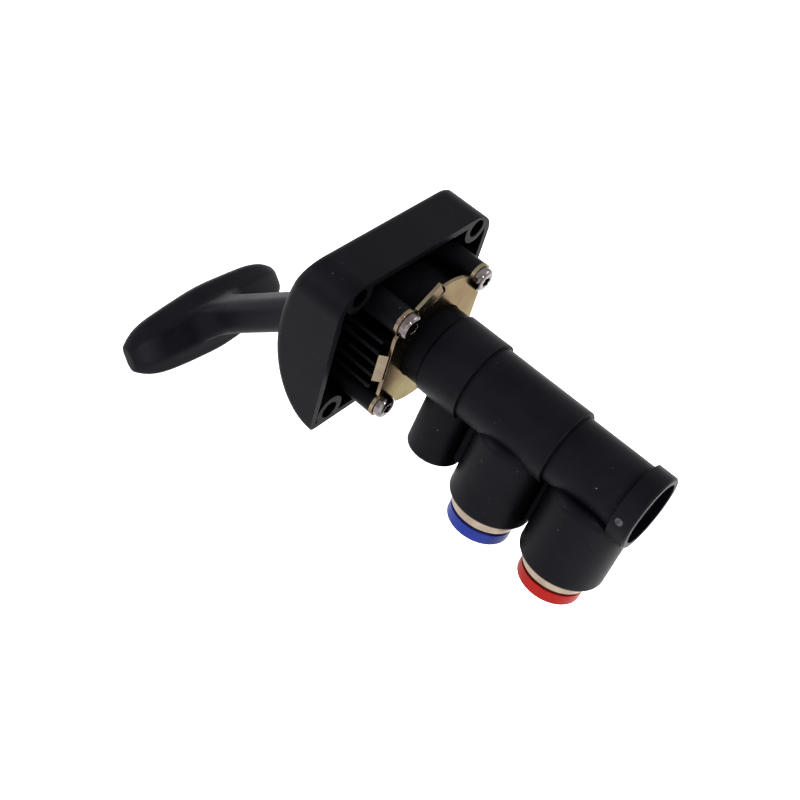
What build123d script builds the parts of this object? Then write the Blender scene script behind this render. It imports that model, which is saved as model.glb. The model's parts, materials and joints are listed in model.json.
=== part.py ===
"""Hand lever air valve: a tiltable tee lever in a moulded cover works a graduated valve with three ports.

Frame (millimetres): the origin is the centre of the cover's rear rim, on the valve axis. +Y runs from the
cover to the open exhaust end, -Y points at the lever, +Z is up and the ports point down.
"""
import os
from math import asin, cos, degrees, radians, sin, sqrt

from build123d import *

# ---------------------------------------------------------------- clearances
RUNNING = 0.05  # radial clearance of a shaft, plunger or piston in its bore
REST_GAP = 0.3  # gap at rest between working faces of different bodies
SWING_GAP = 0.5  # gap round the swinging drum and the stem

# ---------------------------------------------------------------- cover
COVER_WIDTH = 69.0
COVER_HEIGHT = 56.4
COVER_DROP = 0.4  # how far the cover's middle lies below the valve axis
COVER_DEPTH = 20.8
COVER_TOP_R = 9.4
COVER_BOTTOM_R = 3.9
COVER_WALL = 2.4
CREST_Z = 2.5  # height of the deepest line of the front
FRONT_UPPER_HALF = 38.5  # upper semi-axis of the front's curve
FRONT_EDGE_R = 2.7
MOUNT_SPACING_X = 53.2
MOUNT_SPACING_Z = 46.7
MOUNT_HOLE_R = 3.1
MOUNT_BOSS_R = 5.3
MOUNT_HOLE_DEPTH = 4.6

# ---------------------------------------------------------------- screws and clamp plate
SCREW_SPACING = 34.0
SCREW_R = 2.0
SCREW_HEAD_R = 3.9
SCREW_HEAD_HEIGHT = 2.7
SCREW_LENGTH = 20.0
SCREW_TIP_GAP = 0.5  # room in its hole beyond each screw's tip
TORX_R = 1.9
TORX_DEPTH = 1.5
PLATE_Y = 10.0
PLATE_THICKNESS = 1.2
PLATE_R = 23.1
PLATE_HALF_WIDTH = 19.9
PLATE_EAR_R = 4.5
TAB_WIDTH = 10.8
TAB_LENGTH = 3.0
TAB_ANGLE = 50.0
LEAF_WIDTH = 11.0
LEAF_LENGTH = 4.0
LEAF_TURN = 23.8  # from straight up towards +X
LEAF_HINGE_R = 19.2
LEAF_SHIFT = 1.7  # of the leaf's middle towards -X
LEAF_LIFT = 8.0

# ---------------------------------------------------------------- lever
PIVOT_Y = -6.0
PIVOT_R = 3.0
LEVER_REST_ANGLE = 40.5  # below the valve axis
LEVER_TRAVEL = 75.0
LEVER_LENGTH = 92.0  # pivot to the middle of the handle
STEM_R = 6.1
DRUM_R = 10.3
DRUM_WIDTH = 19.0
DRUM_REACH = 100.0  # half-angle of the drum's skin about the stem
HUB_R = 4.6
CAM_WIDTH = 8.0
CAM_START = 4.5  # pivot to tappet face at rest
CAM_LIFT = 4.5
HANDLE_LENGTH = 70.0
HANDLE_HALF_WIDTH = 12.3
HANDLE_CROWN = 3.4
HANDLE_RIDGE = 7.6
HANDLE_SWEEP = 1.5  # how far the handle's ends lie beyond its middle
HANDLE_DROP = 0.8  # how far the handle's middle lies below the stem's
FLARE_STEP = 0.46  # spacing that places the cross-sections of the stem's flare into the handle
FLARE_SINK = 0.7  # how far the flare's end lies inside the handle's ridge
HANDLE_EDGE = 4.0
HANDLE_ROUNDING = 1.9
STEM_CORNER_R = 4.2
CAM_KEY = 5.0  # how far the cam's seat reaches towards the stem

# ---------------------------------------------------------------- mechanism frame
FRAME_FRONT_Y = PIVOT_Y
FRAME_R = 19.0
POST_R = 4.4
FRAME_WEB = 3.0
FRAME_RIB_THICKNESS = 1.4
FRAME_RIB_R = 21.6
FRAME_RIB_PITCH = 4.6
FRAME_RIB_SETBACK = 2.0  # how far the ribs stop short of the clamp plate
EAR_REACH = 5.6
EAR_HALF_HEIGHT = 5.5
EAR_THICKNESS = 5.0

# ---------------------------------------------------------------- valve body
PORT_TILT = 11.0  # turn of the port plane about the valve axis
FLANGE_R = 17.4
FLANGE_THICKNESS = 3.0
NECK_R = 12.8
NECK_END_Y = 17.5
BODY_1_R = 13.5
BODY_1_END_Y = 32.6
BODY_2_R = 12.6
BODY_2_END_Y = 64.7
BODY_3_R = 11.3
COLLAR_Y = 88.5
COLLAR_R = 12.6
BODY_END_Y = 95.0
STEP_CHAMFER = 0.4
STUB_RIM_R = 1.2
STUB_SHOULDER_R = 3.5
STUB_ROOT = 5.0  # where the port stubs start, below the valve axis
VENT_Y = 27.5
VENT_R = 9.0
VENT_END = 31.0
VENT_BORE_R = 5.0
DELIVERY_Y = 51.3
DELIVERY_R = 13.5
DELIVERY_END = 32.5
SUPPLY_Y = 79.6
SUPPLY_R = 13.9
SUPPLY_END = 32.5
PASSAGE_R = 4.0
WEB_THICKNESS = 6.0
WEB_END = 27.0  # edge of the web between the stubs, from the valve axis
STUB_FLOOR = 19.0  # bottom of a port's socket, from the valve axis

# ---------------------------------------------------------------- bores and inner pieces
PISTON_BORE_R = 9.5
PISTON_BORE_END_Y = 46.0
DELIVERY_BORE_R = 7.4
SEAT_Y = 58.0
SUPPLY_BORE_R = 8.6
END_BORE_Y = 84.0
END_BORE_R = 10.4
PLUG_SEAL_SETBACK = 2.5  # end plug's inner face to its seal's middle
TAPPET_STEM_R = 5.0
TAPPET_CUP_Y = 7.4
TAPPET_CUP_LENGTH = 8.0
TAPPET_CUP_FLOOR = 2.0
TAPPET_CUP_WALL = 1.8
GRADUATING_COIL_R = 6.2
GRADUATING_WIRE_R = 1.1
PISTON_Y = 31.0
PISTON_LENGTH = 8.0
PISTON_SPIGOT = 3.0
RETURN_COIL_R = 8.3
SPRING_WIRE_R = 0.6  # return spring and poppet spring
NOSE_R = 4.2
SEAT_LENGTH = 4.0
SEAT_BORE_R = 5.2
SEAT_LIP = 0.7
DISC_THICKNESS = 1.4
POPPET_R = 6.7
POPPET_HEAD = 2.6
POPPET_COIL_R = 5.2
POPPET_STEM_R = 3.4
EXHAUST_R = 2.2
POPPET_END_Y = 92.0
PLUG_END_Y = 92.6
PIN_Y = 91.0
PIN_R = 1.25
PIN_DEPTH = 6.5
SEAL_R = 0.85

# ---------------------------------------------------------------- tube fittings
TUBE_R = 6.0
CARTRIDGE_R = 10.4
CARTRIDGE_FLANGE_R = 10.9
CARTRIDGE_FLANGE = 3.9
CARTRIDGE_SPIGOT_R = 9.5
CARTRIDGE_SPIGOT = 5.9
CARTRIDGE_BORE_R = 7.9
COLLET_HEAD_R = 10.45
COLLET_HEAD = 4.1
CARTRIDGE_FLOOR = 1.2
GRAB_RING = 0.6
COLLET_TRAVEL = 1.2
COLLET_REACH = 6.5  # from the stub's end to the collet's inner end
COLLET_END = 9.5  # from the stub's end to the collet's outer face

pivot = Vector(0, PIVOT_Y, 0)
lift_per_radian = CAM_LIFT / radians(LEVER_TRAVEL)
lever_dir = Vector(0, -cos(radians(LEVER_REST_ANGLE)), -sin(radians(LEVER_REST_ANGLE)))
lever_plane = Plane(origin=pivot, x_dir=(1, 0, 0), z_dir=lever_dir)
port_dir = Vector(sin(radians(PORT_TILT)), 0, -cos(radians(PORT_TILT)))
side_dir = Vector(cos(radians(PORT_TILT)), 0, sin(radians(PORT_TILT)))
screw_seat_y = PLATE_Y + PLATE_THICKNESS
flange_y = PLATE_Y - FLANGE_THICKNESS


def port_plane(y):
    """Plane across a port, at the valve axis, facing out of the port."""
    return Plane(origin=(0, y, 0), x_dir=(0, 1, 0), z_dir=port_dir)


def across(y):
    """Plane across the valve axis at y, facing the exhaust end."""
    return Plane(origin=(0, y, 0), x_dir=(-1, 0, 0), z_dir=(0, 1, 0))


def spring(plane, radius, wire_r, length, turns):
    """Open coil spring of six-sided wire, standing on a plane."""
    height = length - 2 * wire_r
    with BuildPart() as coil:
        with BuildLine() as path:
            Helix(pitch=height / turns, height=height, radius=radius)
        with BuildSketch(Plane(origin=path.line @ 0, z_dir=path.line % 0)):
            RegularPolygon(wire_r, 6)
        sweep(is_frenet=True)
    return plane.offset(wire_r).location * coil.part


def seal(plane, ring_r, section_r):
    """Seal ring of six-sided section, centred on a plane."""
    with BuildPart() as ring:
        with BuildSketch(Plane(origin=plane.origin, x_dir=plane.x_dir, z_dir=plane.y_dir)):
            with Locations((ring_r, 0)):
                RegularPolygon(section_r, 6)
        revolve(axis=Axis(plane.origin, plane.z_dir))
    return ring.part


def cover_form(inset):
    """Cover's outer form, drawn in by inset on every side but the open rear."""
    depth = COVER_DEPTH - inset
    top_z = COVER_HEIGHT / 2 - COVER_DROP
    low_half = COVER_HEIGHT / 2 + COVER_DROP + CREST_Z - inset
    up_half = FRONT_UPPER_HALF - inset
    top_angle = degrees(asin((top_z - CREST_Z) / up_half))
    with BuildPart() as form:
        with BuildSketch(Plane.YZ):
            with BuildLine():
                low = EllipticalCenterArc((0, CREST_Z), depth, low_half, start_angle=180, arc_size=90)
                up = EllipticalCenterArc((0, CREST_Z), depth, up_half, start_angle=180 - top_angle, arc_size=top_angle)
                Polyline(low @ 1, (0, top_z), up @ 0)
            make_face()
        extrude(amount=COVER_WIDTH, both=True)
        with BuildSketch(Plane.XZ) as rim:
            with Locations((0, -COVER_DROP)):
                Rectangle(COVER_WIDTH - 2 * inset, COVER_HEIGHT - 2 * inset)
            corners = rim.vertices().group_by(Axis.Y)
            fillet(corners[-1], COVER_TOP_R - inset)
            fillet(corners[0], COVER_BOTTOM_R - inset)
        extrude(amount=COVER_DEPTH, mode=Mode.INTERSECT)
    return form.part


# ---------------------------------------------------------------- cover
with BuildPart() as outer:
    add(cover_form(0))
    front_edges = outer.edges().filter_by(lambda e: e.center().Y < -FRONT_EDGE_R and abs(e.center().X) > 1)
    front_edges = front_edges.filter_by(lambda e: abs((e % 0.5).Y) < 0.9 and abs(e.center().Z - CREST_Z) > 1)
    fillet(front_edges, FRONT_EDGE_R)
outer_form = outer.part

with BuildPart() as cover_bosses:
    with BuildSketch(Plane.XZ):
        with GridLocations(MOUNT_SPACING_X, MOUNT_SPACING_Z, 2, 2):
            Circle(MOUNT_BOSS_R)
    extrude(amount=COVER_DEPTH)
    with BuildSketch(Plane.XZ.offset(-FRAME_FRONT_Y)):
        with GridLocations(SCREW_SPACING, SCREW_SPACING, 2, 2):
            Circle(POST_R)
    extrude(amount=COVER_DEPTH + FRAME_FRONT_Y)
    add(outer_form, mode=Mode.INTERSECT)

slot_half_width = STEM_R + SWING_GAP
with BuildPart() as housing_cover:
    add(outer_form)
    add(cover_form(COVER_WALL), mode=Mode.SUBTRACT)
    add(cover_bosses.part)
    with BuildSketch(Plane.XZ):
        with GridLocations(MOUNT_SPACING_X, MOUNT_SPACING_Z, 2, 2):
            Circle(MOUNT_HOLE_R)
    extrude(amount=MOUNT_HOLE_DEPTH, mode=Mode.SUBTRACT)
    with BuildSketch(Plane.XZ.offset(-FRAME_FRONT_Y)):
        with GridLocations(SCREW_SPACING, SCREW_SPACING, 2, 2):
            Circle(SCREW_R + RUNNING)
    extrude(amount=SCREW_LENGTH - screw_seat_y + FRAME_FRONT_Y + SCREW_TIP_GAP, mode=Mode.SUBTRACT)
    with BuildSketch(Plane.YZ):
        with BuildLine():
            reach = 2 * COVER_DEPTH
            low_dir = LEVER_REST_ANGLE
            high_dir = LEVER_TRAVEL - LEVER_REST_ANGLE
            lower = [
                (PIVOT_Y, -slot_half_width / cos(radians(low_dir))),
                (
                    PIVOT_Y - reach * cos(radians(low_dir)),
                    -slot_half_width / cos(radians(low_dir)) - reach * sin(radians(low_dir)),
                ),
            ]
            upper = [
                (
                    PIVOT_Y - reach * cos(radians(high_dir)),
                    slot_half_width / cos(radians(high_dir)) + reach * sin(radians(high_dir)),
                ),
                (PIVOT_Y, slot_half_width / cos(radians(high_dir))),
            ]
            Polyline(*lower, *upper, close=True)
        make_face()
    extrude(amount=slot_half_width, both=True, mode=Mode.SUBTRACT)
housing_cover.part.label = "housing_cover"

# ---------------------------------------------------------------- mechanism frame
drum_pocket_r = DRUM_R + SWING_GAP
pocket_half_width = DRUM_WIDTH / 2 + SWING_GAP
with BuildPart() as mechanism_frame:
    with BuildSketch(across(FRAME_FRONT_Y)):
        Circle(FRAME_R)
        with GridLocations(SCREW_SPACING, SCREW_SPACING, 2, 2):
            Circle(POST_R)
        Rectangle(SCREW_SPACING * sqrt(2), FRAME_WEB, rotation=45)
        Rectangle(SCREW_SPACING * sqrt(2), FRAME_WEB, rotation=-45)
    extrude(amount=PLATE_Y - FRAME_FRONT_Y)
    with BuildSketch(across(FRAME_FRONT_Y)):
        with GridLocations(0, FRAME_RIB_PITCH, 1, 5):
            Rectangle(2 * FRAME_RIB_R, FRAME_RIB_THICKNESS)
    extrude(amount=PLATE_Y - FRAME_FRONT_Y - FRAME_RIB_SETBACK)
    with BuildSketch(Plane.YZ.offset(pocket_half_width)):
        with Locations((FRAME_FRONT_Y - EAR_REACH / 2, 0)):
            Rectangle(EAR_REACH, 2 * EAR_HALF_HEIGHT)
    ears = extrude(amount=EAR_THICKNESS)
    mirror(ears, about=Plane.YZ)
    with Locations(Plane(origin=pivot, z_dir=(1, 0, 0))):
        Cylinder(drum_pocket_r, 2 * pocket_half_width, mode=Mode.SUBTRACT)
        Cylinder(PIVOT_R + RUNNING, 4 * FRAME_R, mode=Mode.SUBTRACT)
    with BuildSketch(across(0)):
        Circle(TAPPET_STEM_R + 6 * RUNNING)
    extrude(amount=PLATE_Y, mode=Mode.SUBTRACT)
    with BuildSketch(across(flange_y)):
        Circle(FLANGE_R + 2 * RUNNING)
    extrude(amount=FLANGE_THICKNESS, mode=Mode.SUBTRACT)
    with BuildSketch(across(FRAME_FRONT_Y)):
        with GridLocations(SCREW_SPACING, SCREW_SPACING, 2, 2):
            Circle(SCREW_R + 3 * RUNNING)
    extrude(amount=PLATE_Y - FRAME_FRONT_Y, mode=Mode.SUBTRACT)
mechanism_frame.part.label = "mechanism_frame"

shaft_half = pocket_half_width + EAR_THICKNESS
with BuildPart() as pivot_shaft:
    with Locations(Plane(origin=pivot, z_dir=(1, 0, 0))):
        Cylinder(PIVOT_R, 2 * shaft_half)
    chamfer(pivot_shaft.edges().filter_by(GeomType.CIRCLE), 0.4)
pivot_shaft.part.label = "pivot_shaft"

# ---------------------------------------------------------------- clamp plate
leaf_out = Vector(sin(radians(LEAF_TURN)), 0, cos(radians(LEAF_TURN)))
leaf_across = Vector(-cos(radians(LEAF_TURN)), 0, sin(radians(LEAF_TURN)))
leaf_hinge = leaf_out * LEAF_HINGE_R + leaf_across * LEAF_SHIFT + Vector(0, PLATE_Y, 0)
hinge_plane = Plane(origin=leaf_hinge, x_dir=leaf_across, z_dir=(0, 1, 0))
with BuildPart() as clamp_plate:
    with BuildSketch(across(PLATE_Y)):
        Circle(PLATE_R)
        Rectangle(2 * PLATE_HALF_WIDTH, 2 * PLATE_R, mode=Mode.INTERSECT)
        with GridLocations(SCREW_SPACING, SCREW_SPACING, 2, 2):
            Circle(PLATE_EAR_R)
        Circle(NECK_R + 4 * RUNNING, mode=Mode.SUBTRACT)
        with GridLocations(SCREW_SPACING, SCREW_SPACING, 2, 2):
            Circle(SCREW_R + 3 * RUNNING, mode=Mode.SUBTRACT)
    extrude(amount=PLATE_THICKNESS)
    with BuildSketch(hinge_plane):
        Rectangle(LEAF_WIDTH + 2 * REST_GAP, 2 * LEAF_LENGTH, align=(Align.CENTER, Align.MIN))
    extrude(amount=PLATE_THICKNESS, mode=Mode.SUBTRACT)
    with BuildSketch(hinge_plane.rotated((LEAF_LIFT, 0, 0))):
        with Locations((0, -PLATE_THICKNESS * sin(radians(LEAF_LIFT)))):
            Rectangle(LEAF_WIDTH, LEAF_LENGTH, align=(Align.CENTER, Align.MIN))
    extrude(amount=PLATE_THICKNESS)
    tab_dir = (cos(radians(TAB_ANGLE)), -sin(radians(TAB_ANGLE)), 0)
    tab_normal = (sin(radians(TAB_ANGLE)), cos(radians(TAB_ANGLE)), 0)
    with BuildSketch(Plane(origin=(PLATE_HALF_WIDTH, PLATE_Y, 0), x_dir=tab_dir, z_dir=tab_normal)):
        with Locations((TAB_LENGTH / 2 - 0.3, 0)):
            Rectangle(TAB_LENGTH, TAB_WIDTH)
    extrude(amount=PLATE_THICKNESS)
clamp_plate.part.label = "clamp_plate"

# ---------------------------------------------------------------- screws
with BuildPart() as one_screw:
    with BuildSketch(across(screw_seat_y)):
        Circle(SCREW_HEAD_R)
    extrude(amount=SCREW_HEAD_HEIGHT)
    fillet(one_screw.edges().group_by(Axis.Y)[-1], SCREW_HEAD_HEIGHT * 0.5)
    with BuildSketch(across(screw_seat_y + SCREW_HEAD_HEIGHT - TORX_DEPTH)):
        Circle(TORX_R * 0.8)
        with PolarLocations(TORX_R * 0.78, 6):
            Circle(TORX_R * 0.24)
    extrude(amount=TORX_DEPTH, mode=Mode.SUBTRACT)
    with BuildSketch(across(screw_seat_y)):
        Circle(SCREW_R)
    extrude(amount=-SCREW_LENGTH)
    chamfer(one_screw.edges().group_by(Axis.Y)[0], 0.5)
screw_places = [
    Location((x, 0, z))
    for x in (-SCREW_SPACING / 2, SCREW_SPACING / 2)
    for z in (-SCREW_SPACING / 2, SCREW_SPACING / 2)
]
clamp_screws_group = Compound(children=[place * one_screw.part for place in screw_places])
clamp_screws_group.label = "clamp_screws"

# ---------------------------------------------------------------- valve body
def stub(y, stub_r, end):
    """Port stub with a rounded rim and a softly rounded shoulder beside the tube."""
    with BuildPart() as body:
        with BuildSketch(port_plane(y).offset(STUB_ROOT)):
            Circle(stub_r)
        extrude(amount=end - STUB_ROOT)
        rims = body.edges().filter_by(GeomType.CIRCLE).sort_by(lambda e: e.center().dot(port_dir))
        fillet(rims[-1], STUB_RIM_R)
        fillet(rims[0], STUB_SHOULDER_R)
    return body.part


outline = [
    (0, flange_y),
    (FLANGE_R, flange_y),
    (FLANGE_R, PLATE_Y),
    (NECK_R, PLATE_Y),
    (NECK_R, NECK_END_Y),
    (BODY_1_R, NECK_END_Y),
    (BODY_1_R, BODY_1_END_Y),
    (BODY_2_R, BODY_1_END_Y),
    (BODY_2_R, BODY_2_END_Y),
    (BODY_3_R, BODY_2_END_Y),
    (BODY_3_R, COLLAR_Y),
    (COLLAR_R, COLLAR_Y),
    (COLLAR_R, BODY_END_Y),
    (0, BODY_END_Y),
]
ports = [
    (VENT_Y, VENT_R, VENT_END),
    (DELIVERY_Y, DELIVERY_R, DELIVERY_END),
    (SUPPLY_Y, SUPPLY_R, SUPPLY_END),
]
bores = [
    (flange_y, PISTON_BORE_END_Y, PISTON_BORE_R),
    (PISTON_BORE_END_Y, SEAT_Y, DELIVERY_BORE_R),
    (SEAT_Y, END_BORE_Y, SUPPLY_BORE_R),
    (END_BORE_Y, BODY_END_Y, END_BORE_R),
]
with BuildPart() as valve_body:
    with BuildSketch(Plane.XY):
        with BuildLine():
            Polyline(*outline, close=True)
        make_face()
    revolve(axis=Axis.Y)
    circles = valve_body.edges().filter_by(GeomType.CIRCLE)
    chamfer(circles.filter_by(lambda e: e.center().Y == NECK_END_Y and e.radius == BODY_1_R), STEP_CHAMFER)
    chamfer(circles.filter_by(lambda e: e.center().Y == BODY_2_END_Y and e.radius == BODY_2_R), STEP_CHAMFER)
    chamfer(valve_body.edges().filter_by_position(Axis.Y, BODY_END_Y, BODY_END_Y), 0.5)
    for y, stub_r, end in ports:
        add(stub(y, stub_r, end))
    with BuildSketch(port_plane(VENT_Y)):
        Rectangle(SUPPLY_Y - VENT_Y, WEB_THICKNESS, align=(Align.MIN, Align.CENTER))
    extrude(amount=WEB_END)
    for start, end, bore_r in bores:
        with BuildSketch(across(start)):
            Circle(bore_r)
        extrude(amount=end - start, mode=Mode.SUBTRACT)
    for y, stub_r, end in ports:
        with BuildSketch(port_plane(y)):
            Circle(PASSAGE_R)
        extrude(amount=end, mode=Mode.SUBTRACT)
    for y, end in ((DELIVERY_Y, DELIVERY_END), (SUPPLY_Y, SUPPLY_END)):
        with BuildSketch(port_plane(y).offset(STUB_FLOOR)):
            Circle(CARTRIDGE_R + RUNNING)
        extrude(amount=end - STUB_FLOOR, mode=Mode.SUBTRACT)
    with BuildSketch(port_plane(VENT_Y).offset(STUB_FLOOR)):
        Circle(VENT_BORE_R)
    extrude(amount=VENT_END - STUB_FLOOR, mode=Mode.SUBTRACT)
    with BuildSketch(Plane(origin=(0, PIN_Y, 0), z_dir=side_dir)):
        Circle(PIN_R + RUNNING)
    extrude(amount=COLLAR_R, both=True, mode=Mode.SUBTRACT)
valve_body.part.label = "valve_body"


# ---------------------------------------------------------------- lever
def cam_point(angle, gap):
    """Point (y, z) of a cam face whose reach grows evenly with the angle from +Y towards +Z."""
    a = radians(angle)
    reach = CAM_START - gap + lift_per_radian * a
    y = PIVOT_Y + reach * cos(a) - lift_per_radian * sin(a)
    z = reach * sin(a) + lift_per_radian * cos(a)
    return (y, z)


def behind_tappet(gap, half_width):
    """Block of space that the tappet's face never enters over the lever's travel."""
    last = LEVER_TRAVEL + 8
    face_points = [cam_point(last * step / 12, gap) for step in range(13)]
    far = 4 * DRUM_R
    last_dir = radians(last)
    tip = face_points[-1]
    beyond = (tip[0] - far * sin(last_dir), tip[1] + far * cos(last_dir))
    with BuildPart() as block:
        with BuildSketch(Plane.YZ):
            with BuildLine():
                Spline(*face_points)
                Polyline(tip, beyond, (-far, -far), (face_points[0][0], -far), face_points[0])
            make_face()
        extrude(amount=half_width, both=True)
    return block.part


def handle_station(share, width_share, ridge_share, flat_share):
    """Cross-section of the handle at a share of its half length."""
    middle = pivot + lever_dir * (LEVER_LENGTH + HANDLE_SWEEP * share**2) - lever_plane.y_dir * HANDLE_DROP
    plane = Plane(
        origin=middle + Vector(share * HANDLE_LENGTH / 2, 0, 0),
        x_dir=lever_plane.y_dir,
        z_dir=(1, 0, 0),
    )
    half = HANDLE_HALF_WIDTH * width_share
    crown = HANDLE_CROWN * sqrt(width_share)
    ridge = HANDLE_RIDGE * ridge_share
    edge = HANDLE_EDGE / 2 * sqrt(width_share)
    with BuildSketch(plane) as station:
        with BuildLine():
            Polyline(
                (-half, -edge),
                (-half, edge),
                (-half / 2, crown),
                (half / 2, crown),
                (half, edge),
                (half, -edge),
                (half * flat_share, -ridge),
                (-half * flat_share, -ridge),
                close=True,
            )
        make_face()
        fillet(station.vertices(), HANDLE_ROUNDING * width_share)
    return station.sketch


# share of the half length, of the half width, of the ridge's height, and of the width its flat takes
stations = [
    (0, 1.0, 1.0, 0.42),
    (0.35, 0.91, 0.94, 0.43),
    (0.62, 0.81, 0.82, 0.46),
    (0.84, 0.67, 0.62, 0.52),
    (0.95, 0.5, 0.46, 0.55),
    (1.0, 0.4, 0.34, 0.5),
]
mirrored = [(-station[0], *station[1:]) for station in reversed(stations[1:])]
with BuildPart() as handle:
    loft([handle_station(*station) for station in mirrored + stations])

stem_start = DRUM_R * 0.7
# place in steps from the flare's start, and width in stem widths
flare = [(0, 1.0), (10, 1.05), (18, 1.2), (24, 1.5), (29, 2.1)]
flare_end = LEVER_LENGTH - HANDLE_RIDGE + FLARE_SINK
flare_start = flare_end - FLARE_STEP * flare[-1][0]
with BuildPart() as stem:
    with BuildSketch(lever_plane.offset(stem_start)):
        RectangleRounded(2 * STEM_R, 2 * STEM_R, STEM_CORNER_R)
    extrude(amount=flare_start - stem_start)
    for place, width in flare:
        with BuildSketch(lever_plane.offset(flare_start + FLARE_STEP * place)):
            RectangleRounded(2 * STEM_R * width, 2 * STEM_R, STEM_CORNER_R)
    loft()

with BuildPart() as drum:
    with BuildSketch(Plane(origin=pivot, x_dir=lever_plane.y_dir, z_dir=(1, 0, 0))):
        Circle(DRUM_R)
        wedge = [
            (0, 0),
            (3 * DRUM_R * sin(radians(DRUM_REACH)), 3 * DRUM_R * cos(radians(DRUM_REACH))),
            (0, -4 * DRUM_R),
            (-3 * DRUM_R * sin(radians(DRUM_REACH)), 3 * DRUM_R * cos(radians(DRUM_REACH))),
        ]
        Polygon(*wedge, align=None, mode=Mode.SUBTRACT)
        Circle(HUB_R)
    extrude(amount=DRUM_WIDTH / 2, both=True)
    add(stem.part)
    add(handle.part)
tappet_room = behind_tappet(REST_GAP + SWING_GAP, TAPPET_STEM_R + SWING_GAP)
cam_room_half = CAM_WIDTH / 2 + RUNNING
with BuildPart() as tappet_sweep:
    Box(2 * TAPPET_STEM_R + 2 * SWING_GAP, 8 * DRUM_R, 8 * DRUM_R)
    add(tappet_room, mode=Mode.SUBTRACT)
with BuildPart() as lever:
    add(drum.part)
    add(tappet_sweep.part, mode=Mode.SUBTRACT)
    with BuildSketch(Plane(origin=pivot, x_dir=lever_plane.y_dir, z_dir=(1, 0, 0))):
        with Locations((0, CAM_KEY - 2 * DRUM_R)):
            Rectangle(4 * DRUM_R, 4 * DRUM_R)
    extrude(amount=cam_room_half, both=True, mode=Mode.SUBTRACT)
    with Locations(Plane(origin=pivot, z_dir=(1, 0, 0))):
        Cylinder(PIVOT_R + RUNNING, 4 * DRUM_R, mode=Mode.SUBTRACT)
lever.part.label = "lever"

with BuildPart() as lever_cam:
    with BuildSketch(Plane(origin=pivot, x_dir=lever_plane.y_dir, z_dir=(1, 0, 0))):
        Circle(DRUM_R)
        with Locations((0, CAM_KEY - RUNNING + 2 * DRUM_R)):
            Rectangle(4 * DRUM_R, 4 * DRUM_R, mode=Mode.SUBTRACT)
    extrude(amount=CAM_WIDTH / 2, both=True)
    add(behind_tappet(REST_GAP, CAM_WIDTH), mode=Mode.INTERSECT)
    with Locations(Plane(origin=pivot, z_dir=(1, 0, 0))):
        Cylinder(PIVOT_R + RUNNING, 2 * CAM_WIDTH, mode=Mode.SUBTRACT)
lever_cam.part.label = "lever_cam"

# ---------------------------------------------------------------- tappet and piston
tappet_face_y = PIVOT_Y + CAM_START
cup_floor_y = TAPPET_CUP_Y + TAPPET_CUP_FLOOR
with BuildPart() as tappet:
    with BuildSketch(across(tappet_face_y)):
        Circle(TAPPET_STEM_R)
    extrude(amount=cup_floor_y - tappet_face_y)
    with BuildSketch(across(TAPPET_CUP_Y)):
        Circle(PISTON_BORE_R - RUNNING)
    extrude(amount=TAPPET_CUP_LENGTH)
    with BuildSketch(across(cup_floor_y)):
        Circle(PISTON_BORE_R - TAPPET_CUP_WALL)
    extrude(amount=TAPPET_CUP_LENGTH, mode=Mode.SUBTRACT)
    chamfer(tappet.edges().group_by(Axis.Y)[0], 0.4)
tappet.part.label = "tappet"

graduating_spring = spring(
    across(cup_floor_y + REST_GAP),
    GRADUATING_COIL_R,
    GRADUATING_WIRE_R,
    PISTON_Y - cup_floor_y - 2 * REST_GAP,
    turns=6,
)
graduating_spring.label = "graduating_spring"

piston_end_y = PISTON_Y + PISTON_LENGTH
seat_end_y = SEAT_Y + SEAT_LENGTH
seal_ring_r = PISTON_BORE_R - RUNNING - SEAL_R
seal_ys = (PISTON_Y + PISTON_LENGTH * 0.27, PISTON_Y + PISTON_LENGTH * 0.73)
with BuildPart() as graduating_piston:
    with BuildSketch(across(PISTON_Y)):
        Circle(PISTON_BORE_R - RUNNING)
    extrude(amount=PISTON_LENGTH)
    with BuildSketch(across(PISTON_Y)):
        Circle(GRADUATING_COIL_R - GRADUATING_WIRE_R - REST_GAP)
    extrude(amount=-PISTON_SPIGOT)
    with BuildSketch(across(piston_end_y)):
        Circle(NOSE_R)
    extrude(amount=seat_end_y - piston_end_y)
    for y in seal_ys:
        with BuildSketch(across(y - SEAL_R - RUNNING)):
            Circle(PISTON_BORE_R)
            Circle(seal_ring_r - SEAL_R, mode=Mode.SUBTRACT)
        extrude(amount=2 * SEAL_R + 2 * RUNNING, mode=Mode.SUBTRACT)
graduating_piston.part.label = "graduating_piston"
piston_seals = Compound(children=[seal(across(y), seal_ring_r, SEAL_R) for y in seal_ys])
piston_seals.label = "piston_seals"

piston_return_spring = spring(
    across(piston_end_y + REST_GAP),
    RETURN_COIL_R,
    SPRING_WIRE_R,
    PISTON_BORE_END_Y - piston_end_y - 2 * REST_GAP,
    turns=2,
)
piston_return_spring.label = "piston_return_spring"

# ---------------------------------------------------------------- inlet seat and poppet
with BuildPart() as inlet_seat:
    with BuildSketch(across(SEAT_Y)):
        Circle(SUPPLY_BORE_R - RUNNING)
    extrude(amount=SEAT_LENGTH - SEAT_LIP)
    with BuildSketch(across(SEAT_Y)):
        Circle(SEAT_BORE_R + SEAT_LIP)
    extrude(amount=SEAT_LENGTH)
    with BuildSketch(across(SEAT_Y)):
        Circle(SEAT_BORE_R)
    extrude(amount=SEAT_LENGTH, mode=Mode.SUBTRACT)
inlet_seat.part.label = "inlet_seat"

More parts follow.
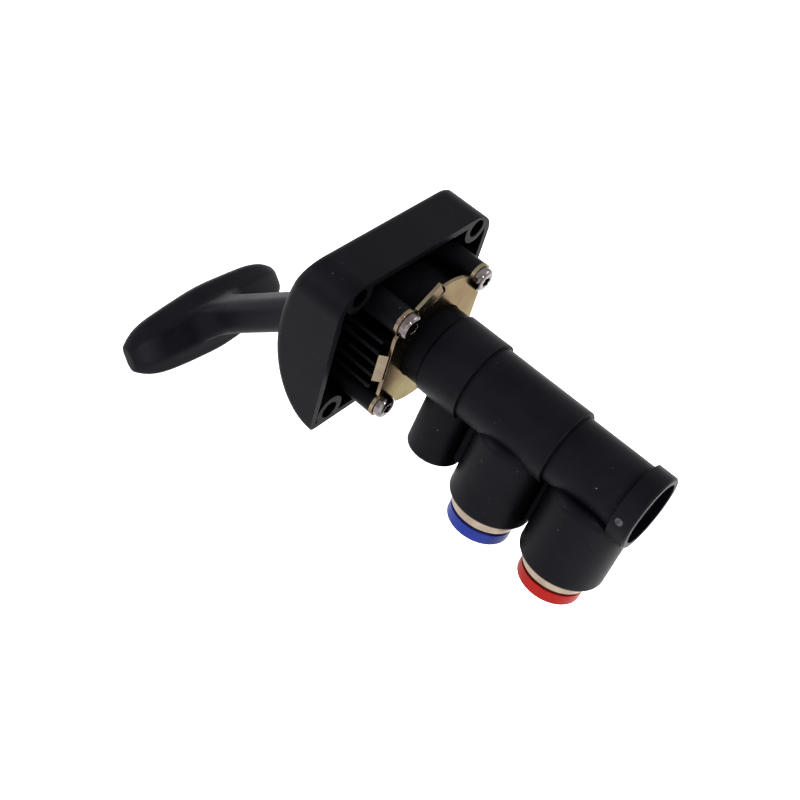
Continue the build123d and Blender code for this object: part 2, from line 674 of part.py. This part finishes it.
disc_y = seat_end_y + REST_GAP
poppet_y = disc_y + DISC_THICKNESS
poppet_back_y = poppet_y + POPPET_HEAD
with BuildPart() as poppet_disc:
    with BuildSketch(across(disc_y)):
        Circle(POPPET_R)
        Circle(EXHAUST_R, mode=Mode.SUBTRACT)
    extrude(amount=DISC_THICKNESS)
poppet_disc.part.label = "poppet_disc"
with BuildPart() as inlet_poppet:
    with BuildSketch(across(poppet_y)):
        Circle(POPPET_R)
    extrude(amount=POPPET_HEAD)
    with BuildSketch(across(poppet_back_y)):
        Circle(POPPET_STEM_R)
    extrude(amount=POPPET_END_Y - poppet_back_y)
    with BuildSketch(across(poppet_y)):
        Circle(EXHAUST_R)
    extrude(amount=POPPET_END_Y - poppet_y, mode=Mode.SUBTRACT)
inlet_poppet.part.label = "inlet_poppet"
poppet_spring = spring(
    across(poppet_back_y + REST_GAP),
    POPPET_COIL_R,
    SPRING_WIRE_R,
    END_BORE_Y - poppet_back_y - 2 * REST_GAP,
    turns=6,
)
poppet_spring.label = "poppet_spring"

# ---------------------------------------------------------------- end plug and pins
plug_r = END_BORE_R - RUNNING
plug_seal_y = END_BORE_Y + PLUG_SEAL_SETBACK
with BuildPart() as end_plug:
    with BuildSketch(across(END_BORE_Y)):
        Circle(plug_r)
        Circle(POPPET_STEM_R + RUNNING, mode=Mode.SUBTRACT)
    extrude(amount=PLUG_END_Y - END_BORE_Y)
    with BuildSketch(across(plug_seal_y - SEAL_R - RUNNING)):
        Circle(END_BORE_R)
        Circle(plug_r - 2 * SEAL_R, mode=Mode.SUBTRACT)
    extrude(amount=2 * SEAL_R + 2 * RUNNING, mode=Mode.SUBTRACT)
    with BuildSketch(Plane(origin=(0, PIN_Y, 0), z_dir=side_dir).offset(COLLAR_R - PIN_DEPTH - REST_GAP)):
        Circle(PIN_R + RUNNING)
    pin_hole = extrude(amount=COLLAR_R, mode=Mode.SUBTRACT)
    mirror(pin_hole, about=Plane(origin=(0, 0, 0), z_dir=side_dir), mode=Mode.SUBTRACT)
end_plug.part.label = "end_plug"
end_plug_seal = seal(across(plug_seal_y), plug_r - SEAL_R, SEAL_R)
end_plug_seal.label = "end_plug_seal"
with BuildPart() as retaining_pins:
    with BuildSketch(Plane(origin=(0, PIN_Y, 0), z_dir=side_dir).offset(COLLAR_R - PIN_DEPTH)):
        Circle(PIN_R)
    pin = extrude(amount=PIN_DEPTH)
    mirror(pin, about=Plane(origin=(0, 0, 0), z_dir=side_dir))
retaining_pins.part.label = "retaining_pins"


# ---------------------------------------------------------------- tube fittings
def cartridge(y, end):
    """Brass push-in cartridge of one port; its flange rests on the stub's end."""
    with BuildPart() as body:
        with BuildSketch(port_plane(y).offset(STUB_FLOOR)):
            Circle(CARTRIDGE_R)
        extrude(amount=end - STUB_FLOOR)
        with BuildSketch(port_plane(y).offset(end)):
            Circle(CARTRIDGE_FLANGE_R)
        extrude(amount=CARTRIDGE_FLANGE)
        with BuildSketch(port_plane(y).offset(end)):
            Circle(CARTRIDGE_SPIGOT_R)
        extrude(amount=CARTRIDGE_SPIGOT)
        with BuildSketch(port_plane(y).offset(STUB_FLOOR + CARTRIDGE_FLOOR)):
            Circle(CARTRIDGE_BORE_R)
        extrude(amount=end, mode=Mode.SUBTRACT)
        with BuildSketch(port_plane(y).offset(STUB_FLOOR)):
            Circle(PASSAGE_R)
        extrude(amount=CARTRIDGE_FLOOR, mode=Mode.SUBTRACT)
    return body.part


def collet(y, end):
    """Release collet: a skirted head over the spigot and a slotted sleeve round the tube."""
    skirt_end = end + CARTRIDGE_SPIGOT + COLLET_TRAVEL + REST_GAP
    sleeve_start = end - COLLET_REACH
    with BuildPart() as body:
        with BuildSketch(port_plane(y).offset(end + COLLET_END - COLLET_HEAD)):
            Circle(COLLET_HEAD_R)
        extrude(amount=COLLET_HEAD)
        fillet(body.edges().sort_by(lambda e: -(e.center().dot(port_dir)))[0], 0.6)
        with BuildSketch(port_plane(y).offset(end)):
            Circle(CARTRIDGE_SPIGOT_R + 2 * RUNNING)
        extrude(amount=skirt_end - end, mode=Mode.SUBTRACT)
        with BuildSketch(port_plane(y).offset(sleeve_start)):
            Circle(CARTRIDGE_BORE_R - 2 * RUNNING)
        extrude(amount=skirt_end - sleeve_start)
        with BuildSketch(port_plane(y).offset(sleeve_start)):
            Circle(TUBE_R + RUNNING)
        extrude(amount=end + COLLET_END, mode=Mode.SUBTRACT)
        with BuildSketch(port_plane(y).offset(sleeve_start)):
            Rectangle(4 * TUBE_R, 1.0)
            Rectangle(1.0, 4 * TUBE_R)
        extrude(amount=COLLET_REACH * 0.7, mode=Mode.SUBTRACT)
    return body.part


def grip_rings(y, end):
    """Grab ring and tube seal, stacked under the collet."""
    seal_s = STUB_FLOOR + CARTRIDGE_FLOOR + SEAL_R + RUNNING
    with BuildPart() as ring:
        with BuildSketch(port_plane(y).offset(seal_s + SEAL_R + RUNNING)):
            Circle(CARTRIDGE_BORE_R - RUNNING)
            Circle(TUBE_R + 3 * RUNNING, mode=Mode.SUBTRACT)
        extrude(amount=GRAB_RING)
    return ring.part, seal(port_plane(y).offset(seal_s), CARTRIDGE_BORE_R - RUNNING - SEAL_R, SEAL_R)


fittings = {"delivery": (DELIVERY_Y, DELIVERY_END), "supply": (SUPPLY_Y, SUPPLY_END)}
fitting_parts = []
for port, (y, end) in fittings.items():
    grab, tube_seal = grip_rings(y, end)
    pieces = {
        "cartridge": cartridge(y, end),
        "collet": collet(y, end),
        "grab_ring": grab,
        "tube_seal": tube_seal,
    }
    for name, solid in pieces.items():
        solid.label = f"{port}_{name}"
        fitting_parts.append(solid)

# ---------------------------------------------------------------- files
built = [
    housing_cover,
    mechanism_frame,
    pivot_shaft,
    clamp_plate,
    valve_body,
    lever,
    lever_cam,
    tappet,
    graduating_piston,
    inlet_seat,
    poppet_disc,
    inlet_poppet,
    end_plug,
    retaining_pins,
]
loose = [
    clamp_screws_group,
    graduating_spring,
    piston_seals,
    piston_return_spring,
    poppet_spring,
    end_plug_seal,
]
os.makedirs("parts", exist_ok=True)
for solid in [piece.part for piece in built] + loose + fitting_parts:
    export_step(solid, f"parts/{solid.label}.step")
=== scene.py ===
"""Looks, lights and camera of the hand lever air valve.

Metres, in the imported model's own frame: +Y along the valve body, -Y to the lever, +Z up.
"""

import json
import math

import bmesh
import bpy
from mathutils import Matrix, Vector


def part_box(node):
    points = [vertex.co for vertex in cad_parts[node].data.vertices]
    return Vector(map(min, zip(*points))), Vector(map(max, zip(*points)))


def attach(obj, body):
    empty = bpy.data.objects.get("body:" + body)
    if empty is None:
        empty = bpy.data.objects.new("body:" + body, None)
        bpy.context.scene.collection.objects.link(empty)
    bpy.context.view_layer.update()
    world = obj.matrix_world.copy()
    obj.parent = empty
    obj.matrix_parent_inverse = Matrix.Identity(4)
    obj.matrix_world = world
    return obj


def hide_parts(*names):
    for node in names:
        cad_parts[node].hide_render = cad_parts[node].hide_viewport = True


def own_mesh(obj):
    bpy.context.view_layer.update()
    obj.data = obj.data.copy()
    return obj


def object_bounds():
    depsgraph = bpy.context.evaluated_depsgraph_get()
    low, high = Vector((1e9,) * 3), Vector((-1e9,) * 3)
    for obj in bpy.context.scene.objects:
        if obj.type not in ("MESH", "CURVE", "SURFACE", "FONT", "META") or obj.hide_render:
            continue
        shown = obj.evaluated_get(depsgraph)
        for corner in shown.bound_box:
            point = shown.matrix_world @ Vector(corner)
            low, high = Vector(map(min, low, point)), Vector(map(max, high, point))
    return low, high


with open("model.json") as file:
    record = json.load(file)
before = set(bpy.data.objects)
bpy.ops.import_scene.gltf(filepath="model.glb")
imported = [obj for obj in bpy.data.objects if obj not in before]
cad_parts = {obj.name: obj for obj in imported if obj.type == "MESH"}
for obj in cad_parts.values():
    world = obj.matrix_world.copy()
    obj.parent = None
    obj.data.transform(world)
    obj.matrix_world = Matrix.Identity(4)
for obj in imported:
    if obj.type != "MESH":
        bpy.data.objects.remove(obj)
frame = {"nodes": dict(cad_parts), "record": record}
cad_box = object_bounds()
MM = 0.001

# ---------------------------------------------------------------- driving values
# camera, above the valve body's +X side, looking back along it towards the lever
CAMERA_PLACE = (0.27288, 0.15269, 0.28136)
CAMERA_RIGHT = (-0.6435, 0.7320, 0.2238)
CAMERA_UP = (-0.4455, -0.5959, 0.6682)
CAMERA_BACK = (0.6225, 0.3303, 0.7095)
CAMERA_LENS = 62.36
CAMERA_SENSOR = 36.0

# lever, as in the solids
PIVOT = Vector((0, -6, 0)) * MM
LEVER_ANGLE = math.radians(40.5)
LEVER_LENGTH = 92 * MM
HANDLE_HALF_LENGTH = 35 * MM
HANDLE_HALF_WIDTH = 12.3 * MM

# lever's skin: how far the handle's form reaches back along the stem, where its width fades out
RIDGE_ROOT = 9 * MM
RIDGE_BLEND = 5 * MM
SIDE_BOW = 0.24  # share of the handle's width that its bowed sides lose at the ends
END_ROUNDING = 0.40  # share that the rounding of the ends takes off as well
EVEN_FACE = 0.5 * MM
SOFTENING_ROUNDS = 14

# stage
FLOOR_GAP = 2 * MM
FLOOR_SIZE = 6.0
FLOOR_GLOW = 0.4
WORLD_STRENGTH = 1.5

# tints of a surface's sheen
COOL = (0.88, 0.84, 1.0)
PLAIN = (1.0, 1.0, 1.0)
GOLD = (0.60, 0.54, 0.47)


# ---------------------------------------------------------------- camera
def make_camera():
    """Camera on the driving values' axes."""
    data = bpy.data.cameras.new("camera")
    data.sensor_width = CAMERA_SENSOR
    data.lens = CAMERA_LENS
    data.clip_start = 0.01
    data.clip_end = 5.0
    camera = bpy.data.objects.new("camera", data)
    basis = Matrix((CAMERA_RIGHT, CAMERA_UP, CAMERA_BACK)).transposed().to_4x4()
    camera.matrix_world = Matrix.Translation(CAMERA_PLACE) @ basis
    bpy.context.collection.objects.link(camera)
    bpy.context.scene.camera = camera


# ---------------------------------------------------------------- material building blocks
def new_material(name):
    """Material with its node tree and main shader."""
    material = bpy.data.materials.new(name)
    material.use_nodes = True
    tree = material.node_tree
    return material, tree, tree.nodes["Principled BSDF"]


def object_noise(tree, scale, detail=4.0, rough=0.55):
    """Noise fixed to the object."""
    coordinates = tree.nodes.new("ShaderNodeTexCoord")
    noise = tree.nodes.new("ShaderNodeTexNoise")
    noise.inputs["Scale"].default_value = scale
    noise.inputs["Detail"].default_value = detail
    noise.inputs["Roughness"].default_value = rough
    tree.links.new(coordinates.outputs["Object"], noise.inputs["Vector"])
    return noise.outputs["Fac"]


def remap(tree, value, from_min, from_max, to_min, to_max):
    """Value taken from one range to another, held at its ends."""
    node = tree.nodes.new("ShaderNodeMapRange")
    node.inputs["From Min"].default_value = from_min
    node.inputs["From Max"].default_value = from_max
    node.inputs["To Min"].default_value = to_min
    node.inputs["To Max"].default_value = to_max
    tree.links.new(value, node.inputs["Value"])
    return node.outputs["Result"]


def blend_colours(tree, value, first, second):
    """Soft blend of two colours over the middle of a noise."""
    ramp = tree.nodes.new("ShaderNodeValToRGB")
    low, high = ramp.color_ramp.elements
    low.position, low.color = 0.35, (*first, 1)
    high.position, high.color = 0.65, (*second, 1)
    tree.links.new(value, ramp.inputs["Fac"])
    return ramp.outputs["Color"]


def colour_mix(tree):
    """Mix node for colours, with its factor, its two inputs and its result."""
    mix = tree.nodes.new("ShaderNodeMix")
    mix.data_type = "RGBA"
    return mix.inputs[0], mix.inputs[6], mix.inputs[7], mix.outputs[2]


def add_relief(tree, shader, height, strength, distance, edge_r):
    """Fine relief over softly rounded edges."""
    rounded = tree.nodes.new("ShaderNodeBevel")
    rounded.samples = 8
    rounded.inputs["Radius"].default_value = edge_r
    relief = tree.nodes.new("ShaderNodeBump")
    relief.inputs["Strength"].default_value = strength
    relief.inputs["Distance"].default_value = distance
    tree.links.new(rounded.outputs["Normal"], relief.inputs["Normal"])
    tree.links.new(height, relief.inputs["Height"])
    tree.links.new(relief.outputs["Normal"], shader.inputs["Normal"])


def dusted(tree, colour, dust_colour=(0.09, 0.09, 0.095), amount=0.6):
    """Sparse pale specks over a colour."""
    specks = object_noise(tree, 1100.0, 1.0, 0.4)
    factor, clean, dust, result = colour_mix(tree)
    dust.default_value = (*dust_colour, 1)
    tree.links.new(remap(tree, specks, 0.80, 0.84, 0.0, amount), factor)
    tree.links.new(colour, clean)
    return result


def paint_corner_shade(tree, shader, colour, specular, darkest_painted_shade, reach=14 * MM):
    """Painted shade: darker colour and weaker sheen where surfaces close in on each other, taken from
    an ambient-occlusion node.
    """
    nearness = tree.nodes.new("ShaderNodeAmbientOcclusion")
    nearness.samples = 6
    nearness.inputs["Distance"].default_value = reach
    openness = remap(tree, nearness.outputs["AO"], 0.25, 0.92, darkest_painted_shade, 1.0)
    factor, shaded, open_colour, result = colour_mix(tree)
    shaded.default_value = (0, 0, 0, 1)
    tree.links.new(openness, factor)
    tree.links.new(colour, open_colour)
    tree.links.new(result, shader.inputs["Base Color"])
    sheen = tree.nodes.new("ShaderNodeMath")
    sheen.operation = "MULTIPLY"
    sheen.inputs[1].default_value = specular
    tree.links.new(openness, sheen.inputs[0])
    tree.links.new(sheen.outputs["Value"], shader.inputs["Specular IOR Level"])


def moulded(
    name, first, second, roughness, specular, tint=PLAIN, grain_scale=2600.0, edge_mm=0.35, darkest_painted_shade=0.08
):
    """Moulded plastic: slow colour drift, fine grain, uneven sheen, a few specks of dust, and painted
    shade that darkens colour and sheen in corners.
    """
    material, tree, shader = new_material(name)
    drift = object_noise(tree, 60.0)
    grain = object_noise(tree, grain_scale, 6.0, 0.7)
    sheen = remap(tree, drift, 0.3, 0.7, roughness - 0.04, roughness + 0.05)
    tree.links.new(sheen, shader.inputs["Roughness"])
    shader.inputs["Specular Tint"].default_value = (*tint, 1)
    colour = dusted(tree, blend_colours(tree, drift, first, second))
    # painted shade: colour and sheen darkened where surfaces close in on each other
    paint_corner_shade(tree, shader, colour, specular, darkest_painted_shade)
    add_relief(tree, shader, grain, 0.35, 0.05 * MM, edge_mm * MM)
    return material


def metal(name, first, second, roughness, grain_scale, patch_scale=180.0, rim=PLAIN, edge_mm=0.2):
    """Metal with patchy tone, faint scratches and uneven polish."""
    material, tree, shader = new_material(name)
    patch = object_noise(tree, patch_scale)
    grain = object_noise(tree, grain_scale, 8.0, 0.75)
    tree.links.new(blend_colours(tree, patch, first, second), shader.inputs["Base Color"])
    polish = remap(tree, grain, 0.3, 0.7, roughness - 0.06, roughness + 0.08)
    tree.links.new(polish, shader.inputs["Roughness"])
    shader.inputs["Metallic"].default_value = 1.0
    shader.inputs["Specular Tint"].default_value = (*rim, 1)
    add_relief(tree, shader, grain, 0.1, 0.02 * MM, edge_mm * MM)
    return material


# ---------------------------------------------------------------- black plastics
def cover_black():
    return moulded("cover black", (0.0014, 0.0013, 0.0018), (0.0024, 0.0022, 0.0030), 0.42, 0.028, COOL)


def body_black():
    return moulded("body black", (0.0012, 0.0011, 0.0016), (0.0022, 0.0020, 0.0028), 0.44, 0.035, COOL)


def lever_black():
    dark, light = (0.0020, 0.0018, 0.0027), (0.0032, 0.0029, 0.0042)
    return moulded("lever black", dark, light, 0.44, 0.040, COOL, grain_scale=2200.0, edge_mm=1.6)


def seal_rubber():
    dark, light = (0.003, 0.003, 0.003), (0.005, 0.005, 0.005)
    return moulded("seal rubber", dark, light, 0.6, 0.1, grain_scale=1500.0)


# ---------------------------------------------------------------- coloured and pale plastics
def collet_blue():
    dark, light = (0.005, 0.011, 0.085), (0.0075, 0.0155, 0.13)
    # the painted corner shade darkens this blue only a little
    return moulded("collet blue", dark, light, 0.38, 0.06, darkest_painted_shade=0.85)


def collet_red():
    dark, light = (0.12, 0.0026, 0.0016), (0.16, 0.004, 0.0024)
    # the painted corner shade darkens this red only partly
    return moulded("collet red", dark, light, 0.38, 0.05, darkest_painted_shade=0.7)


def natural_acetal():
    return moulded("natural acetal", (0.40, 0.38, 0.34), (0.46, 0.44, 0.40), 0.4, 0.3)


# ---------------------------------------------------------------- metals
def yellow_zinc():
    dark, light = (0.110, 0.080, 0.060), (0.165, 0.155, 0.094)
    return metal("yellow zinc", dark, light, 0.20, 900.0, patch_scale=70.0, rim=GOLD)


def screw_steel():
    dark, light = (0.060, 0.048, 0.050), (0.13, 0.115, 0.115)
    return metal("screw steel", dark, light, 0.12, 1400.0, patch_scale=420.0)


def pin_steel():
    dark, light = (0.012, 0.011, 0.013), (0.045, 0.043, 0.045)
    return metal("pin steel", dark, light, 0.3, 1800.0, patch_scale=900.0)


def ground_steel():
    return metal("ground steel", (0.24, 0.24, 0.25), (0.30, 0.30, 0.31), 0.28, 1200.0)


def spring_wire():
    return metal("spring wire", (0.22, 0.22, 0.24), (0.28, 0.28, 0.30), 0.32, 1600.0)


def pale_brass():
    return metal("pale brass", (0.155, 0.122, 0.094), (0.205, 0.168, 0.132), 0.32, 1100.0)


def turned_alloy():
    return metal("turned alloy", (0.36, 0.36, 0.38), (0.42, 0.42, 0.44), 0.3, 1500.0)


looks = {
    "black_plastic": cover_black(),
    "black_body": body_black(),
    "lever_black": lever_black(),
    "blue_plastic": collet_blue(),
    "red_plastic": collet_red(),
    "rubber": seal_rubber(),
    "acetal": natural_acetal(),
    "zinc_plate": yellow_zinc(),
    "screw_steel": screw_steel(),
    "steel": ground_steel(),
    "spring_steel": spring_wire(),
    "brass": pale_brass(),
    "piston_alloy": turned_alloy(),
}
darker_nodes = {"retaining_pins": pin_steel()}


def dress_solids():
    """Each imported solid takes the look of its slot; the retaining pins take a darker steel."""
    slot_of = {part["node"]: part["material_slot"] for part in frame["record"]["subparts"]}
    for node, solid in frame["nodes"].items():
        solid.data.materials.clear()
        solid.data.materials.append(darker_nodes.get(node) or looks[slot_of[node]])


# ---------------------------------------------------------------- new pieces
def add_piece(name, data, slot, node, body):
    """New object in the scene with its look, standing in for one solid and riding on a body."""
    piece = bpy.data.objects.new(name, data)
    bpy.context.collection.objects.link(piece)
    data.materials.clear()
    data.materials.append(looks[slot])
    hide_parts(node)
    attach(piece, body)
    return piece


# ---------------------------------------------------------------- lever
ALONG = Vector((0, -math.cos(LEVER_ANGLE), -math.sin(LEVER_ANGLE)))
ACROSS = Vector((0, math.sin(LEVER_ANGLE), -math.cos(LEVER_ANGLE)))


def evened_mesh(source):
    """World-space copy of a solid's mesh in small even faces, with its sharp ridges softened."""
    even = source.modifiers.new("even", "REMESH")
    even.mode = "VOXEL"
    even.voxel_size = EVEN_FACE
    soften = source.modifiers.new("soften", "SMOOTH")
    soften.factor = 0.5
    soften.iterations = SOFTENING_ROUNDS
    evaluated = source.evaluated_get(bpy.context.evaluated_depsgraph_get())
    data = bpy.data.meshes.new_from_object(evaluated)
    data.transform(source.matrix_world)
    source.modifiers.remove(soften)
    source.modifiers.remove(even)
    return data


def handle_half_width(share):
    """Reach of the handle's wider side from the stem's line, at a share of its half length."""
    return HANDLE_HALF_WIDTH * (1 - SIDE_BOW * share**1.5) * (1 - END_ROUNDING * share**8)


def bow_handle(data):
    """Scales the handle across the stem's line, slice by slice: its wider side follows one curve."""
    root = LEVER_LENGTH - RIDGE_ROOT
    widest = {}
    handle = []
    for vertex in data.vertices:
        place = vertex.co - PIVOT
        reach = place.dot(ALONG)
        across = place.dot(ACROSS)
        if reach > root:
            out = abs(place.x)
            slice_number = round(out / MM)
            widest[slice_number] = max(widest.get(slice_number, 0), abs(across))
            handle.append((vertex, out, reach, across))
    for vertex, out, reach, across in handle:
        inner = min(int(out / MM), max(widest) - 1)
        part = out / MM - inner
        width = widest[inner] * (1 - part) + widest[inner + 1] * part
        share = min(out / HANDLE_HALF_LENGTH, 1)
        blend = min((reach - root) / RIDGE_BLEND, 1)
        change = (handle_half_width(share) / width - 1) * blend
        vertex.co += ACROSS * across * change


def add_lever_skin():
    """Moulded lever with a softened, evenly bowed handle, drawn from the lever's own solid."""
    data = evened_mesh(frame["nodes"]["lever"])
    bow_handle(data)
    for polygon in data.polygons:
        polygon.use_smooth = True
    add_piece("lever_skin", data, "lever_black", "lever", "lever")


# ---------------------------------------------------------------- springs
def coil_rise(turn, turns, dead_turns, length, dead_rise):
    """Height of a coil's wire after a number of turns: flat ends, even pitch between."""
    total = turns + 2 * dead_turns
    if turn < dead_turns:
        return dead_rise * turn / dead_turns
    if turn > total - dead_turns:
        return length - dead_rise * (total - turn) / dead_turns
    return dead_rise + (length - 2 * dead_rise) * (turn - dead_turns) / turns


def coil_mesh(name, low, high, wire_r, turns, dead_turns=0.75, around=14, steps_per_turn=40):
    """Round-wire coil along Y with closed ends, filling a box."""
    centre_x = (low[0] + high[0]) / 2
    centre_z = (low[2] + high[2]) / 2
    coil_r = (high[0] - low[0]) / 2 - wire_r
    length = high[1] - low[1] - 2 * wire_r
    total = turns + 2 * dead_turns
    steps = int(total * steps_per_turn)
    dead_rise = dead_turns * 1.6 * wire_r
    mesh = bmesh.new()
    rings = []
    for step in range(steps + 1):
        turn = total * step / steps
        rise = coil_rise(turn, turns, dead_turns, length, dead_rise)
        out = Vector((math.cos(2 * math.pi * turn), 0, math.sin(2 * math.pi * turn)))
        middle = Vector((centre_x, low[1] + wire_r + rise, centre_z)) + out * coil_r
        ring = []
        for corner in range(around):
            angle = 2 * math.pi * corner / around
            side = out * math.cos(angle) + Vector((0, 1, 0)) * math.sin(angle)
            ring.append(mesh.verts.new(middle + side * wire_r))
        rings.append(ring)
    for first, second in zip(rings, rings[1:]):
        for corner in range(around):
            after = (corner + 1) % around
            face = mesh.faces.new((first[corner], first[after], second[after], second[corner]))
            face.smooth = True
    mesh.faces.new(rings[0])
    mesh.faces.new(reversed(rings[-1]))
    bmesh.ops.recalc_face_normals(mesh, faces=mesh.faces)
    data = bpy.data.meshes.new(name)
    mesh.to_mesh(data)
    mesh.free()
    return data


def add_spring(name, node, wire_r, turns, body):
    """Coil in place of a spring's solid, filling its box and riding on a body."""
    low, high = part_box(node)
    spring = add_piece(name, coil_mesh(name, low, high, wire_r, turns), "spring_steel", node, body)
    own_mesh(spring)


def add_springs():
    """The three springs, each a coil in place of its solid."""
    add_spring("graduating_coil", "graduating_spring", 1.1 * MM, 6, "piston")
    add_spring("return_coil", "piston_return_spring", 0.6 * MM, 2, "valve")
    add_spring("poppet_coil", "poppet_spring", 0.6 * MM, 6, "valve")


# ---------------------------------------------------------------- floor and light
def make_floor():
    """Plain pale floor with a faint glow of its own, which lifts the shadows on it."""
    low = cad_box[0]
    bpy.ops.mesh.primitive_plane_add(size=FLOOR_SIZE, location=(0, 0, low[2] - FLOOR_GAP))
    floor = bpy.context.object
    floor.name = "floor"
    material, tree, shader = new_material("pale floor")
    tone = object_noise(tree, 3.0)
    colour = blend_colours(tree, tone, (0.92, 0.92, 0.92), (0.94, 0.94, 0.94))
    tree.links.new(colour, shader.inputs["Base Color"])
    shader.inputs["Roughness"].default_value = 0.9
    shader.inputs["Emission Color"].default_value = (1, 1, 1, 1)
    shader.inputs["Emission Strength"].default_value = FLOOR_GLOW
    shader.inputs["Specular IOR Level"].default_value = 0.2
    floor.data.materials.append(material)


def make_world():
    """Even white surroundings."""
    world = bpy.data.worlds.new("studio")
    world.use_nodes = True
    background = world.node_tree.nodes["Background"]
    background.inputs["Color"].default_value = (1, 1, 1, 1)
    background.inputs["Strength"].default_value = WORLD_STRENGTH
    bpy.context.scene.world = world


def area_light(name, offset, size, power):
    """Square light at an offset from the part's middle, facing it."""
    centre = (Vector(cad_box[0]) + Vector(cad_box[1])) / 2
    data = bpy.data.lights.new(name, "AREA")
    data.size = size
    data.energy = power
    light = bpy.data.objects.new(name, data)
    light.location = centre + Vector(offset)
    light.rotation_euler = (-Vector(offset)).to_track_quat("-Z", "Y").to_euler()
    bpy.context.collection.objects.link(light)


def make_lights():
    """Key from the lever's side, fill and rim from the others, a small light for glints on metal."""
    area_light("key", (0.50, -0.58, 0.32), 0.5, 6.0)
    area_light("fill", (0.62, 0.35, 0.20), 0.6, 2.0)
    area_light("glint", (0.10, 0.48, 0.38), 0.06, 4.0)
    area_light("rim", (-0.45, 0.30, 0.40), 0.4, 2.0)


# ---------------------------------------------------------------- scene
dress_solids()
add_lever_skin()
add_springs()
make_camera()
make_floor()
make_world()
make_lights()
bpy.context.scene.view_settings.view_transform = "Standard"
